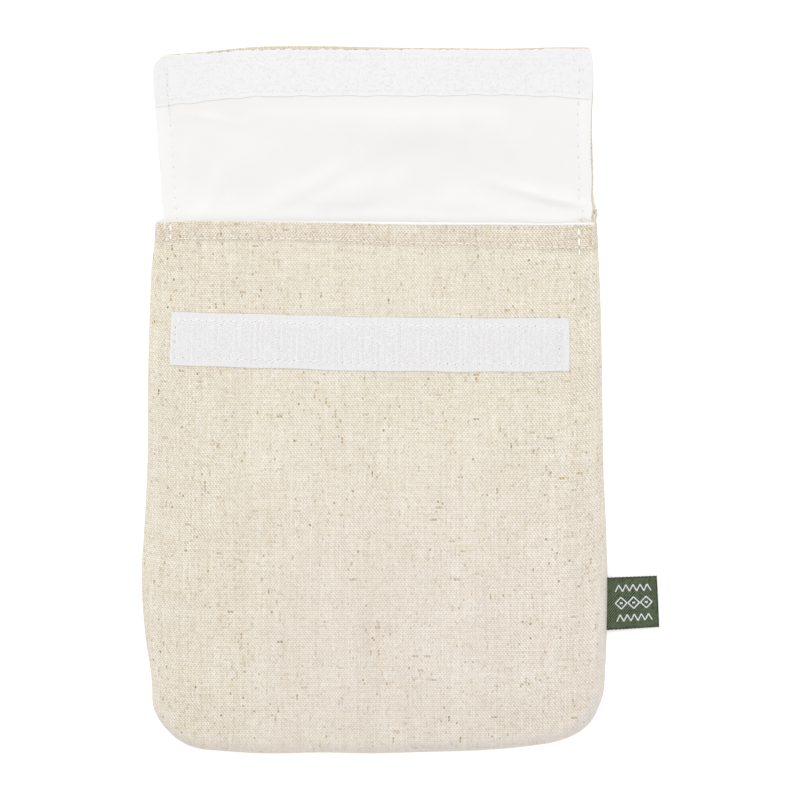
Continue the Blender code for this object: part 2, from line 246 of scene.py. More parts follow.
def frontUnder(x, y):
    depth = seamDepth(x, y)
    rolled = 1 - np.minimum(depth, front["rollWidth"]) / front["rollWidth"]
    roll = front["rollRise"] * np.sqrt(1 - rolled ** 2)
    root = outline["flapRoot"]
    full = blend(front["crown"], front["mouthCrown"], smooth(y, front["fallStart"], root))
    full = full - front["droop"] * smooth(y, root - front["droopLength"], root)
    inside = 1 - np.exp(-depth / front["crownReach"])
    off = np.abs(y - front["labelY"]) - front["labelHalf"]
    beside = (1 - smooth(off, *front["labelFade"])) * np.exp(-depth / front["labelReach"])
    crown = (full + foldHeight(frontFolds, x, y)) * inside
    return front["seat"] + roll + crown + front["labelRise"] * (beside * (np.asarray(x) > 0))


def hemLow(x):  # where the turned hem ends
    return mouthLine(x) - readCurve(front["hemX"], front["hemDepth"], x)


def hemHeight(x, y):  # the turned hem stands up, and its stitches pull it down
    low = hemLow(x)
    row = readCurve(mouthStitch["x"], mouthStitch["y"], x)
    pull = 0.65 - 0.35 * np.cos(math.tau * x / mouthStitch["pitch"])
    groove = mouthStitch["groove"] * np.exp(-((y - row) / mouthStitch["grooveWide"]) ** 2) * pull
    return front["hemRise"] * smooth(y, low - front["hemBelow"], low + front["hemAbove"]) - groove


def allowanceHeight(x, y):  # the seam's turned-in edge shows through near the bottom
    depth = seamDepth(x, y)
    width = front["allowance"] + front["allowanceUneven"] * ripple(x, y, 24, 5)
    where = 0.35 + 0.65 * (1 - smooth(y, 40, 90))
    where = where * blend(0.6, 1.0, smooth(x, -60, 60))
    return front["allowanceRise"] * where * (1 - smooth(depth, width, width + front["allowanceFade"]))


def frontTop(x, y):
    depth = seamDepth(x, y)
    body = frontUnder(x, y) + front["thick"] + hemHeight(x, y) + allowanceHeight(x, y)
    body = body + front["rippleRise"] * ripple(x, y, front["rippleLength"], 3) * smooth(depth, 2, 14)
    rim = 1 - np.minimum(depth, front["rimWidth"]) / front["rimWidth"]
    return blend(front["rimTop"], body, np.sqrt(1 - rim ** 2))


back = {"thick": 1.15, "under": 0.1, "rimWidth": 2.2, "rimLow": 1.25, "rimHigh": 1.5}


def flapLift(x, y):
    return np.maximum(foldHeight(flapLifts, x, y), 0) * smooth(y, 264, 286)


def backUnder(x, y):
    return back["under"] + flapLift(x, y)


def backTop(x, y):
    return backUnder(x, y) + back["thick"]


film = {
    "thick": 0.45, "gap": 0.1, "stitchIn": 6.4, "pucker": 0.16, "puckerPitch": 5.1,
    "lipY": (253, 258, 262, 266, 285, 305, 338), "leftLip": (0.0, -0.05, -0.05, 0.0, 0.1, -0.05, -0.15),
    "rightLip": (2.4, 2.2, 1.7, 1.1, 0.9, 0.5, 0.0), "seamInset": 4.5, "mouthRise": 0.9,
    "endAt": (0, 0.06, 0.2, 0.45, 0.6, 0.8, 1), "endLip": (0.2, 0.6, 1.35, 1.5, 1.05, 0.85, 0.8),
    "peepX": (-100, -50, -20, 20, 60, 92, 100), "peep": (0.1, 0.25, 0.8, 1.2, 1.05, 1.0, 1.2),
    "peepSpan": (-104.6, 105.9), "mouthOut": 3.4, "length": 333.5, "edgeSwell": 0.22, "unevenRise": 0.12,
    "endUneven": 0.3, "light": srgb(224, 223, 221.5), "dark": srgb(220, 219, 217.5),
    # pale is the colour of the painted light near the mouth
    "pale": srgb(240, 239, 237),
}


def filmBuckle(x, y):
    room = sideRoom(x, y)
    free = smooth(room, 0.5, 9) * smooth(y, 256, 265) * (1 - smooth(y, 303, 312))
    buckle = np.maximum(foldHeight(filmBuckles, x, y) + film["unevenRise"] * ripple(x, y, 22, 8), 0)
    sewn = film["pucker"] * np.exp(-((room - film["stitchIn"]) / 1.1) ** 2)
    sewn = sewn * (0.6 + 0.4 * np.cos(math.tau * y / film["puckerPitch"]))
    onFlap = smooth(y, 256, 262)
    sewn = sewn * onFlap
    edgeSwell = film["edgeSwell"] * np.exp(-((room - 3.2) / 1.8) ** 2) * onFlap
    mouth = film["mouthRise"] * np.exp(-((y - outline["flapRoot"]) / 8) ** 2) * smooth(room, 2, 20)
    return buckle * free + mouth + edgeSwell - sewn + film["pucker"]


def filmTop(x, y):
    return backTop(x, y) + film["gap"] + film["thick"] + filmBuckle(x, y)


def addToScene(name, mesh, material):
    piece = bpy.data.objects.new(name, mesh)
    bpy.context.scene.collection.objects.link(piece)
    mesh.materials.clear()
    mesh.materials.append(material)
    return piece


def stations(length, steps, count):  # fine steps at both ends, even ones between
    fine = [step / length for step in steps]
    middle = np.linspace(fine[-1], 1 - fine[-1], count + 1)
    return np.array(fine[:-1] + list(middle) + [1 - f for f in reversed(fine[:-1])])


fineEdge = (0, 0.12, 0.32, 0.6, 1.0, 1.6, 2.4, 3.4, 4.6)


# A closed sheet on a grid of stations. heights(x, y, edge) gives its lower and upper face,
# edge being the distance in from the sheet's own edge. Its UV map is the flat cloth in metres.
def clothSheet(name, us, vs, size, plan, heights, material, marks=None):
    bm = bmesh.new()
    last = (len(us) - 1, len(vs) - 1)
    bmesh.ops.create_grid(bm, x_segments=last[0], y_segments=last[1], size=0.5)
    raised = bmesh.ops.extrude_face_region(bm, geom=bm.faces[:])
    upper = [item for item in raised["geom"] if isinstance(item, bmesh.types.BMVert)]
    bmesh.ops.translate(bm, verts=upper, vec=Vector((0, 0, 1)))
    bmesh.ops.recalc_face_normals(bm, faces=bm.faces[:])
    mesh = meshOf(name, bm)
    grid = np.empty(len(mesh.vertices) * 3)
    mesh.vertices.foreach_get("co", grid)
    grid = grid.reshape(-1, 3)
    column = np.rint((grid[:, 0] + 0.5) * last[0]).astype(int)
    row = np.rint((grid[:, 1] + 0.5) * last[1]).astype(int)
    us, vs = np.asarray(us, float), np.asarray(vs, float)
    u, v = np.meshgrid(us, vs, indexing="ij")
    x, y = plan(u, v)
    edge = np.minimum(np.minimum(u, 1 - u) * size[0], np.minimum(v, 1 - v) * size[1])
    low, high = heights(x, y, np.maximum(edge, 0))
    # flat cloth coordinates: lengths measured along the upper face from the middle
    acrossStep = np.hypot(np.diff(x, axis=0), np.diff(high, axis=0))
    alongStep = np.hypot(np.diff(y, axis=1), np.diff(high, axis=1))
    across = np.concatenate([np.zeros((1, len(vs))), np.cumsum(acrossStep, axis=0)])
    along = np.concatenate([np.zeros((len(us), 1)), np.cumsum(alongStep, axis=1)], axis=1)
    middle = last[0] // 2
    across = across - across[middle] + x[middle]
    along = along + y[:, :1]
    top = grid[:, 2] > 0.5
    z = np.where(top, high[column, row], low[column, row])
    points = toWorld(x[column, row], y[column, row], z)
    mesh.vertices.foreach_set("co", points.ravel())
    flat = np.stack([across[column, row], along[column, row]], axis=-1) * mm
    corner = np.empty(len(mesh.loops), dtype=int)
    mesh.loops.foreach_get("vertex_index", corner)
    layer = mesh.uv_layers.new(name="cloth")
    layer.data.foreach_set("uv", flat[corner].ravel())
    for mark, worth in (marks or {}).items():
        values = worth(x, y)[column, row]
        mesh.attributes.new(mark, "FLOAT", "POINT").data.foreach_set("value", values)
    mesh.update()
    mesh.shade_smooth()
    return addToScene(name, mesh, material)


edgeFlat = 0.96  # a round edge keeps a narrow flat


def roundedEdge(low, high, edge):  # a soft round edge on a sheet
    half = (high - low) / 2
    t = 1 - np.minimum(edge / np.maximum(half, 0.01), 1)
    drawn = half * (1 - np.sqrt(1 - t ** 2)) * edgeFlat
    return low + drawn, high - drawn


def plyUnder(top, thick):  # the faces of a sheet of one thickness below its upper face
    def heights(x, y, edge):
        high = top(x, y)
        return roundedEdge(high - thick, high, edge)
    return heights


def meshOf(name, bm):
    mesh = bpy.data.meshes.new(name)
    bm.to_mesh(mesh)
    bm.free()
    return mesh


def beadMesh(name, around, up):
    bm = bmesh.new()
    bmesh.ops.create_uvsphere(bm, u_segments=around, v_segments=up, radius=1)
    return meshOf(name, bm)


# Node helpers
def newGroup(name, inputs, outputs):
    tree = bpy.data.node_groups.new(name, "ShaderNodeTree")
    for label, kind, value in inputs:
        socket = tree.interface.new_socket(name=label, in_out="INPUT", socket_type=kind)
        if value is not None:
            socket.default_value = value
    for label, kind in outputs:
        tree.interface.new_socket(name=label, in_out="OUTPUT", socket_type=kind)
    return tree, tree.nodes.new("NodeGroupInput"), tree.nodes.new("NodeGroupOutput")


class Signal:  # a shader value that plain arithmetic can be written with
    def __init__(self, tree, socket):
        self.tree, self.socket = tree, socket

    def act(self, operation, *others):
        node = self.tree.nodes.new("ShaderNodeMath")
        node.operation = operation
        for socket, value in zip(node.inputs, (self, *others)):
            feed(self.tree, socket, value)
        return Signal(self.tree, node.outputs[0])

    def __add__(self, other):
        return self.act("ADD", other)

    def __sub__(self, other):
        return self.act("SUBTRACT", other)

    def __rsub__(self, other):
        return self.act("MULTIPLY", -1.0).act("ADD", other)

    def __mul__(self, other):
        return self.act("MULTIPLY", other)

    def __truediv__(self, other):
        return self.act("DIVIDE", other)

    __radd__, __rmul__ = __add__, __mul__


def feed(tree, socket, value):
    if isinstance(value, Signal):
        tree.links.new(value.socket, socket)
    elif isinstance(value, bpy.types.NodeSocket):
        tree.links.new(value, socket)
    elif value is not None:
        socket.default_value = value


def mapRange(tree, value, low, high, toLow=0.0, toHigh=1.0):
    node = tree.nodes.new("ShaderNodeMapRange")
    node.interpolation_type = "SMOOTHSTEP"
    for socket, item in zip(node.inputs, (value, low, high, toLow, toHigh)):
        feed(tree, socket, item)
    return Signal(tree, node.outputs[0])


def joinXyz(tree, x, y, z=0.0):
    node = tree.nodes.new("ShaderNodeCombineXYZ")
    for socket, value in zip(node.inputs, (x, y, z)):
        feed(tree, socket, value)
    return node.outputs[0]


def splitXyz(tree, vector):
    node = tree.nodes.new("ShaderNodeSeparateXYZ")
    feed(tree, node.inputs[0], vector)
    return [Signal(tree, socket) for socket in node.outputs]


def noiseAt(tree, vector, scale, detail=2.0, rough=0.5):
    node = tree.nodes.new("ShaderNodeTexNoise")
    feed(tree, node.inputs["Vector"], vector)
    node.inputs["Scale"].default_value = scale
    node.inputs["Detail"].default_value = detail
    node.inputs["Roughness"].default_value = rough
    return Signal(tree, node.outputs["Fac"])


def chanceAt(tree, *cell):  # one random number for each cell
    node = tree.nodes.new("ShaderNodeTexWhiteNoise")
    node.noise_dimensions = "3D"
    feed(tree, node.inputs["Vector"], joinXyz(tree, *cell))
    return Signal(tree, node.outputs["Value"])


def mixValue(tree, share, a, b):
    node = tree.nodes.new("ShaderNodeMix")
    for socket, value in ((node.inputs[0], share), (node.inputs[2], a), (node.inputs[3], b)):
        feed(tree, socket, value)
    return Signal(tree, node.outputs[0])


def mixColour(tree, share, a, b):
    node = tree.nodes.new("ShaderNodeMix")
    node.data_type = "RGBA"
    for socket, value in ((node.inputs[0], share), (node.inputs[6], a), (node.inputs[7], b)):
        feed(tree, socket, value)
    return node.outputs[2]


def attributeOf(tree, name):
    node = tree.nodes.new("ShaderNodeAttribute")
    node.attribute_name = name
    return Signal(tree, node.outputs["Fac"])


# Plain weave: warp and weft yarns lie on top in turn. Slope and Row are painted light and shade of the
# crossings, Tone the unevenness of each yarn and crossing with painted shade in a few gaps, Fleck the bits
# of bark in the yarns.
def makeWeaveGroup():
    numbers = (("Warp Pitch", 0.00076), ("Weft Pitch", 0.00096), ("Slub", 1.0), ("Wander", 0.5),
               ("Lean", 0.3), ("Seed", 0.0))
    tree, given, result = newGroup(
        "plainWeave", (("Cloth", "NodeSocketVector", None),) + tuple(
            (label, "NodeSocketFloat", value) for label, value in numbers),
        [(label, "NodeSocketFloat") for label in
         ("Slope", "Row", "Tone", "Warmth", "Fleck", "Fleck Hue", "Height")])
    warpPitch, weftPitch, slub, wander, lean, seed = (
        Signal(tree, given.outputs[label]) for label, value in numbers)
    cloth = given.outputs["Cloth"]
    x, y = splitXyz(tree, cloth)[:2]
    crossed = joinXyz(tree, y, x, 0.37)
    u = x / warpPitch + (noiseAt(tree, cloth, 55.0) + noiseAt(tree, cloth, 240.0) * 0.6 - 0.8) * wander
    v = y / weftPitch + (noiseAt(tree, crossed, 48.0) + noiseAt(tree, crossed, 210.0) * 0.6 - 0.8) * wander
    warp, weft = u.act("FLOOR"), v.act("FLOOR")
    parity = (warp + weft).act("FLOORED_MODULO", 2.0)
    # how high the cloth stands: a wave along each yarn and a round section across it
    wave = (u * math.pi).act("SINE") * (v * math.pi).act("SINE")
    acrossWarp, acrossWeft = u.act("FRACT") - 0.5, v.act("FRACT") - 0.5
    warpRound = 1.0 - acrossWarp * acrossWarp * 4.0
    weftRound = 1.0 - acrossWeft * acrossWeft * 4.0
    height = mixValue(tree, parity, weftRound, warpRound) * 0.55 + wave.act("ABSOLUTE") * 0.45
    # every yarn has a tone of its own, and thicker or darker lengths along it
    warpSlub = noiseAt(tree, joinXyz(tree, warp * 7.31, v * 0.045, seed), 1.0, 1.0)
    weftSlub = noiseAt(tree, joinXyz(tree, u * 0.05, weft * 5.77, seed), 1.0, 1.0)
    warpLook = (chanceAt(tree, warp, seed, 3.0) - 0.5) * 0.5 + (warpSlub - 0.5) * 2.2
    weftLook = (chanceAt(tree, weft, seed, 11.0) - 0.5) * 0.45 + (weftSlub - 0.5) * 2.0
    cell = chanceAt(tree, warp, weft, seed)
    # deep: a few dark gaps between the yarns, painted shade
    deep = chanceAt(tree, warp, weft, seed + 17.0).act("POWER", 6.0)
    yarns = mixValue(tree, parity, weftLook, warpLook) * 0.5 + warpLook * 0.6 + weftLook * 0.42
    pairs = (u * math.pi).act("COSINE") * 0.15 + (v * math.pi).act("COSINE") * 0.18
    tone = (yarns + pairs) * slub + (cell - 0.5) * 1.05 - deep * 1.4
    # flecks: short dashes along single yarns, in loose crowds, and some single dots
    crowd = mapRange(tree, noiseAt(tree, cloth, 70.0), 0.36, 0.76, 0.0, 0.019)
    warpRun, weftRun = (v * 0.36).act("FLOOR"), (u * 0.26).act("FLOOR")
    warpDash = mapRange(tree, chanceAt(tree, warp, warpRun, seed + 31.0) + crowd, 0.986, 1.004)
    weftDash = mapRange(tree, chanceAt(tree, weftRun, weft, seed + 47.0) + crowd, 0.99, 1.008)
    onTop = mixValue(tree, parity, weftDash, warpDash)
    dash = onTop * 0.55 + warpDash.act("MAXIMUM", weftDash) * 0.45
    dot = mapRange(tree, chanceAt(tree, warp, weft, seed + 71.0), 0.972, 1.0)
    fleck = dash.act("MAXIMUM", dot)
    # a dash keeps one hue along its whole length
    weftHue = chanceAt(tree, weftRun, weft, seed + 95.0)
    warpHue = chanceAt(tree, warp, warpRun, seed + 97.0)
    dashHue = mixValue(tree, warpDash.act("GREATER_THAN", weftDash), weftHue, warpHue)
    dotHue = chanceAt(tree, warp, weft, seed + 90.0)
    hue = mixValue(tree, dot.act("GREATER_THAN", dash), dashHue, dotHue)
    upright = noiseAt(tree, joinXyz(tree, u * 0.45, v * 0.09, seed), 1.0)
    level = noiseAt(tree, joinXyz(tree, u * 0.08, v * 0.5, seed + 3.0), 1.0)
    warmth = upright.act("MAXIMUM", level)
    relief = mapRange(tree, noiseAt(tree, cloth, 170.0), 0.3, 0.7, 0.75, 1.25)
    slope = mixValue(tree, lean, ((u + v) * math.pi).act("COSINE"), ((u - v) * math.pi).act("COSINE"))
    results = {
        "Slope": slope * relief,
        "Row": (v * math.tau).act("COSINE") * -1.0, "Tone": tone, "Warmth": warmth, "Fleck": fleck,
        "Fleck Hue": hue, "Height": height}
    for label, value in results.items():
        feed(tree, result.inputs[label], value)
    return tree


def startMaterial(name, roughness, specular=0.3, sheen=0.0):
    material = bpy.data.materials.new(name)
    material.use_nodes = True
    shader = material.node_tree.nodes["Principled BSDF"]
    shader.inputs["Roughness"].default_value = roughness
    shader.inputs["Specular IOR Level"].default_value = specular
    shader.inputs["Sheen Weight"].default_value = sheen
    return material, material.node_tree, shader


def useWeave(tree, **values):
    node = tree.nodes.new("ShaderNodeGroup")
    node.node_tree = weaveGroup
    feed(tree, node.inputs["Cloth"], clothCoordinates(tree))
    for label, value in values.items():
        feed(tree, node.inputs[label.replace("_", " ")], value)
    return {socket.name: Signal(tree, socket) for socket in node.outputs}


def clothCoordinates(tree):
    node = tree.nodes.new("ShaderNodeUVMap")
    node.uv_map = "cloth"
    return node.outputs[0]


def objectCoordinates(tree):
    return tree.nodes.new("ShaderNodeTexCoord").outputs["Object"]


def addBump(tree, shader, height, distance, strength=1.0):
    node = tree.nodes.new("ShaderNodeBump")
    node.inputs["Strength"].default_value = strength
    node.inputs["Distance"].default_value = distance
    feed(tree, node.inputs["Height"], height)
    tree.links.new(node.outputs[0], shader.inputs["Normal"])


weaveGroup = makeWeaveGroup()

linen = {
    "light": srgb(243, 238.5, 227), "dark": srgb(181, 165, 138), "tan": srgb(219, 203, 170),
    # ash is the grey of the painted shade along the bottom edge, rim that of the rolled edge
    "mauve": srgb(226, 205, 222), "ash": srgb(190, 176, 172), "rose": srgb(224, 196, 196),
    "olive": srgb(214, 208, 172), "rim": srgb(206, 202, 203), "lip": srgb(190, 168, 128),
    "bark": srgb(144, 112, 58), "grey": srgb(134, 116, 76), "rust": srgb(172, 132, 66),
    "warpPitch": 0.759 * mm, "weftPitch": 0.956 * mm,
}


def makeLinen(name, seed):
    material, tree, shader = startMaterial(name, 0.92, 0.2, 0.05)
    place = objectCoordinates(tree)
    x, y = splitXyz(tree, place)[:2]
    low = mapRange(tree, y, 0.02, -0.1)
    hem = attributeOf(tree, "hemShade")
    patch = mapRange(tree, noiseAt(tree, place, 30.0, 1.0), 0.32, 0.68, 0.16, 0.44)
    lean = patch + low * 0.1 + hem * 0.16 - mapRange(tree, x, 0.03, 0.09) * 0.1
    weave = useWeave(tree, Warp_Pitch=linen["warpPitch"], Weft_Pitch=linen["weftPitch"],
                     Wander=0.9, Lean=lean, Seed=seed)
    left = mapRange(tree, x, -0.03, -0.1)
    rim = attributeOf(tree, "rimShade")
    # painted light and shade of the crossings, with the yarns' own tone
    weaveShadeAndTone = weave["Slope"] * 0.185 + weave["Row"] * (0.08 + hem * 0.03) + weave["Tone"] * 0.145
    cloud = noiseAt(tree, joinXyz(tree, x, y * 0.5, 0.0), 38.0, 3.0) - 0.5
    side = mapRange(tree, (x - originX * mm).act("ABSOLUTE"), 0.04, 0.085)  # coarser near both sides
    weaveShadeAndTone = weaveShadeAndTone * (1.0 + side * 0.24 + hem * 0.45 - rim * 0.4)
    level = 0.65 + weaveShadeAndTone + cloud * 0.2 - hem * 0.095 - left * 0.02
    # painted light and shade of the front's dents and folds
    level = level + attributeOf(tree, "seamPale") * 0.04 + attributeOf(tree, "paintedShapeShade")
    base = mixColour(tree, level, linen["dark"], linen["light"])
    base = mixColour(tree, mapRange(tree, weave["Warmth"], 0.54, 0.85, 0.0, 0.7), base, linen["tan"])
    base = mixColour(tree, left * 0.05, base, linen["olive"])
    base = mixColour(tree, low * (1.0 - left * 0.5) * 0.1, base, linen["mauve"])
    base = mixColour(tree, hem * 0.07, base, linen["rose"])
    # painted shade along the bottom edge
    base = mixColour(tree, attributeOf(tree, "footShade") * 0.14, base, linen["ash"])
    # painted shade on the rolled edge
    base = mixColour(tree, rim * 0.56, base, linen["rim"])
    base = mixColour(tree, attributeOf(tree, "lipShade") * 0.16, base, linen["lip"])
    hue = weave["Fleck Hue"]
    tint = mixColour(tree, mapRange(tree, hue, 0.35, 0.45), linen["bark"], linen["grey"])
    tint = mixColour(tree, mapRange(tree, hue, 0.66, 0.72), tint, linen["rust"])
    strong = (hue * 17.3).act("FRACT").act("POWER", 3.2)
    share = (0.25 + side * 0.07 + strong * 0.68) * (1.0 - rim * 0.6)
    base = mixColour(tree, weave["Fleck"] * share, base, tint)
    tree.links.new(base, shader.inputs["Base Color"])
    addBump(tree, shader, weave["Height"], 0.16 * mm)
    return material


def makeFilm(name):
    material, tree, shader = startMaterial(name, 0.42, 0.45)
    place = clothCoordinates(tree)
    soft = noiseAt(tree, place, 60.0, 3.0)
    fine = noiseAt(tree, place, 900.0, 2.0)
    base = mixColour(tree, soft, film["dark"], film["light"])
    # painted light near the mouth and outside the side stitches
    base = mixColour(tree, attributeOf(tree, "mouthPaintedLight"), base, film["pale"])
    tree.links.new(base, shader.inputs["Base Color"])
    feed(tree, shader.inputs["Roughness"], mapRange(tree, fine, 0.2, 0.8, 0.36, 0.5))
    addBump(tree, shader, soft + fine * 0.04, 0.5 * mm, 0.6)
    return material


# Woven tape: fine ribs with painted light and shade, and where the attribute "field" is 1 the ground under
# hooks or pile
def makeTapeWeb(name, light, dark, field, relief):
    material, tree, shader = startMaterial(name, 0.8, 0.25, 0.1)
    weave = useWeave(tree, Warp_Pitch=0.62 * mm, Weft_Pitch=0.9 * mm, Slub=0.3, Wander=0.3,
                     Lean=0.5, Seed=5.0)
    x = splitXyz(tree, clothCoordinates(tree))[0]
    # painted light and shade along the ribs
    rib = (x *(math.tau / (0.76 * mm))).act("COSINE")
    level = 0.6 + rib * 0.25 + weave["Tone"] * 0.14
    base = mixColour(tree, level, dark, light)
    base = mixColour(tree, attributeOf(tree, "field") * (0.8 + weave["Tone"] * 0.3), base, field)
    tree.links.new(base, shader.inputs["Base Color"])
    addBump(tree, shader, weave["Height"] * 0.5 + rib * 0.3, relief)
    return material


def makeThread(name, light, dark, roughness=0.6):
    material, tree, shader = startMaterial(name, roughness, 0.35, 0.1)
    twist = noiseAt(tree, objectCoordinates(tree), 2600.0)
    base = mixColour(tree, mapRange(tree, twist, 0.35, 0.65), dark, light)
    tree.links.new(base, shader.inputs["Base Color"])
    addBump(tree, shader, twist, 0.06 * mm)
    return material


frontLinen = makeLinen("frontLinen", 2.0)
backLinen = makeLinen("backLinen", 9.0)
whiteFilm = makeFilm("whiteFilm")
hookWeb = makeTapeWeb("hookWeb", srgb(225, 224, 225), srgb(213, 212, 213), srgb(227, 226, 226), 0.1 * mm)
loopWeb = makeTapeWeb("loopWeb", srgb(224, 224, 224), srgb(222, 222, 222), srgb(223, 223, 223), 0.02 * mm)
whiteThread = makeThread("whiteThread", srgb(252, 251, 248), srgb(240, 238, 233))
creamThread = makeThread("creamThread", srgb(243, 239, 232), srgb(228, 221, 208))
tapeThread = makeThread("tapeThread", srgb(237, 236, 236), srgb(228, 227, 226))
tanThread = makeThread("tanThread", srgb(234, 224, 202), srgb(216, 202, 174), 0.9)
needleShade = makeThread("needleShade", srgb(190, 184, 172), srgb(160, 154, 142), 0.9)
print("materials made")


def onPouch(y, value):  # nothing on the flap
    return np.where(np.asarray(y) < outline["flapRoot"] - 1, value, 0)


def seamPale(x, y):  # the side rolls are paler near the bottom
    depth, rise = seamDepth(x, y), y - bottomLine(x)
    side = (1 - smooth(depth, 3, 7)) * smooth(rise, 5, 16) * blend(0.3, 1, 1 - smooth(y, 45, 100))
    return onPouch(y, side * blend(0.4, 1, smooth(x, -40, 40)))


def footShade(x, y):  # painted shade: the bottom edge, which faces away from the light, is a little greyer
    return 1 - smooth(y - bottomLine(x), 1, 9)


def rimShade(x, y):  # painted shade: the rolled edge, turning down away from the light, is painted smooth and greyish, most of all at the two corners
    depth, rise = seamDepth(x, y), y - bottomLine(x)
    corner = smooth(outline["corner"] - np.maximum(sideRoom(x, y), rise), 0, 10)
    side = blend(0.15, 0.45, smooth(x, -40, 40)) * (1 - smooth(y, 60, 120))
    share = np.maximum(np.maximum(corner * 0.75, side), 0.25 * (1 - smooth(rise, 2, 5)))
    wide = blend(2.6, 4.8, smooth(x, -40, 40)) + 0.5 * ripple(x, y, 14, 21)
    return onPouch(y, share * (1 - smooth(depth, wide - 0.9, wide + 0.9)))


# Painted light and shade of the front's dents and soft folds: centre, half length, half width, tone and
# direction
frontPaintedShading = {
    "x": (-89, 36, 86, -50, -16, 65, -6, -30),
    "y": (28, 80, 100, 145, 211, 17, 66, 54),
    "long": (16, 34, 9, 26, 13, 15, 34, 14),
    "wide": (8, 11, 8, 18, 7, 7, 3.4, 2.6),
    "rise": (-0.09, 0.06, 0.06, 0.04, -0.06, -0.06, -0.03, -0.035),
    "turn": (96, 88, 0, 0, 0, -8, 90, 92),
}


def paintedShapeShade(x, y):
    return foldHeight(frontPaintedShading, x, y)


def lipShade(x, y):  # the raw linen lip round the flap is browner
    room = np.minimum(sideRoom(x, y), readCurve(outline["endAcross"], outline["endHeight"], x) - y)
    return (1 - smooth(room, 1.4, 2.6)) * smooth(y, 254.5, 256)


def mouthPaintedLight(x, y):  # painted light: the film is painted whiter near the mouth, against the shade the pouch casts there, and outside its side stitches
    root = outline["flapRoot"]
    pale = np.exp(-np.maximum(y - root, 0) / 7) * 0.95 + 0.05 * (1 - smooth(y, root, root + 40))
    return np.maximum(pale, 0.16 * (1 - smooth(sideRoom(x, y), 5.2, 7.2)))


def hemShade(x, y):
    low, fade = hemLow(x), front["shadeFade"]
    return smooth(y, low - fade, low + fade)


def closeSeam(low, high, rimLow, rimHigh, edge, y):  # both plies end on the same sewn line
    t = 1 - np.clip(edge / front["closing"], 0, 1)
    share = np.where(y < front["closingTop"], np.sqrt(1 - t ** 2), 1)
    return blend(rimLow, low, share), blend(rimHigh, high, share)


def frontHeights(x, y, edge):
    low, high = frontUnder(x, y), frontTop(x, y)
    low = np.minimum(low, high - front["leastPly"])
    low, high = closeSeam(low, high, front["seat"], front["rimTop"], edge, y)
    t = 1 - np.clip((mouthLine(x) - y) / front["mouthRound"], 0, 1)
    drawn = (high - low) / 2 * (1 - np.sqrt(1 - t ** 2)) * edgeFlat
    return low + drawn, high - drawn


# Rows of a tall sheet: fine ones at both ends and closer ones where it bends
def sheetRows(length, ends, *between):
    return np.concatenate([fineEdge[:-1], *between, length - np.array(ends)]) / length


frontRows = sheetRows(outline["flapRoot"], (1.1, 0.7, 0.4, 0.15, 0.0),
                      np.linspace(fineEdge[-1], outline["flapRoot"] - 16, 104),
                      np.linspace(outline["flapRoot"] - 15.2, outline["flapRoot"] - 1.6, 34))
frontPanel = clothSheet(
    "front_linen", stations(216, fineEdge, 236), frontRows, (216, 253),
    lambda u, v: clothPlan(u, v, mouthEnd, nothing, nothing, 0, nothing),
    frontHeights, frontLinen, {"seamPale": seamPale, "footShade": footShade, "hemShade": hemShade,
                               "rimShade": rimShade, "paintedShapeShade": paintedShapeShade})
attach(frontPanel, "root")
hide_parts("front_panel")
print("front panel made")


def backHeights(x, y, edge):
    low, high = backUnder(x, y), backTop(x, y)
    softLow, softHigh = roundedEdge(low, high, edge)
    t = np.sqrt(1 - (1 - np.minimum(seamDepth(x, y) / back["rimWidth"], 1)) ** 2)
    rimLow, rimHigh = blend(back["rimLow"], low, t), blend(back["rimHigh"], high, t)
    rimLow, rimHigh = closeSeam(rimLow, rimHigh, back["rimLow"], back["rimHigh"], edge, y)
    flap = smooth(y, outline["flapRoot"] - 1, outline["flapRoot"] + outline["rootStep"])
    return blend(rimLow, softLow, flap), blend(rimHigh, softHigh, flap)


flapSteps = (3.4, 2.4, 1.6, 1.0, 0.6, 0.32, 0.12, 0.0)
backRows = sheetRows(outline["flapTop"], flapSteps, np.linspace(fineEdge[-1], 248, 60),
                     (249.5, 251, 252, 253, 253.6, 254.2, 254.9, 256, 257.5), np.linspace(259.5, 333, 42))
backPanel = clothSheet(
    "back_linen", stations(216, fineEdge, 120), backRows, (216, 338),
    lambda u, v: clothPlan(u, v, flapEnd, nothing, nothing, 0, nothing),
    backHeights, backLinen, {"seamPale": seamPale, "footShade": footShade, "rimShade": rimShade,
                             "lipShade": lipShade})
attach(backPanel, "root")
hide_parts("back_panel")
print("back panel made")


def filmInset(height, lips):
    root = outline["flapRoot"]
    lip = readCurve(film["lipY"], lips, height)
    return blend(film["seamInset"], lip, smooth(height, root - 4, root - 0.5))


def filmLeftInset(height):
    return filmInset(height, film["leftLip"])


def filmRightInset(height):
    return filmInset(height, film["rightLip"])


def filmEndInset(u):  # the linen shows as a thin uneven lip, wider on the left half
    lip = readCurve(film["endAt"], film["endLip"], u)
    return lip * (1 + film["endUneven"] * ripple(u * 216, nothing(u), 5, 33))


filmRows = sheetRows(film["length"], flapSteps, np.linspace(fineEdge[-1], 244, 26),
                     np.arange(246, 262, 1.0), np.linspace(262.8, 329, 84))
backLining = clothSheet(
    "back_film", stations(213, fineEdge, 150), filmRows, (213, film["length"]),
    lambda u, v: clothPlan(u, v, flapEnd, filmLeftInset, filmRightInset, film["seamInset"], filmEndInset),
    plyUnder(filmTop, film["thick"]), whiteFilm, {"mouthPaintedLight": mouthPaintedLight})
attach(backLining, "root")
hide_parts("back_lining")


def frontFilmTop(x, y):
    return frontUnder(x, y) - film["gap"]


def frontFilmEnd(u):
    x = blend(*film["peepSpan"], u)
    return mouthEnd(u) + readCurve(film["peepX"], film["peep"], x)


def frontFilmLeft(height):
    return nothing(height) + film["seamInset"]


